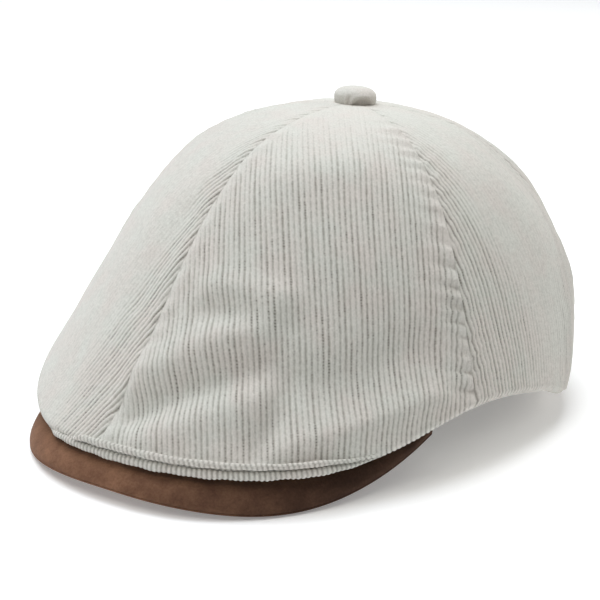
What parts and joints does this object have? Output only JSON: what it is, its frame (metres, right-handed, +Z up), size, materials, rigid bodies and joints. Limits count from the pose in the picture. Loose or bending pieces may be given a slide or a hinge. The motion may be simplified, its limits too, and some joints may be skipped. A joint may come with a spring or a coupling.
{
  "type": "newsboy cap",
  "caption": "Panelled corduroy cap, its crown drawn forward over a short suede visor, with a covered button on top.",
  "frame": {"origin": "on the ground under the middle of the cap's bounding box, with the cap standing on its visor's rim and its back hem", "axes": "+Z up, -Y to the front of the cap, +X to the wearer's left"},
  "size_m": [0.2074, 0.2614, 0.1309],
  "materials": {
    "corduroy": "ivory corduroy, wales about 2.2 mm apart",
    "satin_lining": "beige satin",
    "suede": "brown suede",
    "visor_board": "bare board",
    "sweatband_cloth": "brown cotton twill",
    "button_metal": "plain"
  },
  "bodies": {
    "root": {"crown_front_left": "corduroy", "crown_side_left": "corduroy", "crown_back_left": "corduroy", "crown_front_right": "corduroy", "crown_side_right": "corduroy", "crown_back_right": "corduroy", "lining_front_left": "satin_lining", "lining_side_left": "satin_lining", "lining_back_left": "satin_lining", "lining_front_right": "satin_lining", "lining_side_right": "satin_lining", "lining_back_right": "satin_lining", "front_welt_upper": "corduroy", "front_welt_lower": "corduroy", "visor_top_cover": "suede", "visor_board": "visor_board", "visor_under_cover": "suede", "sweatband": "sweatband_cloth", "button_cover": "corduroy", "button_core": "button_metal", "button_washer": "button_metal"}
  },
  "joints": []
}
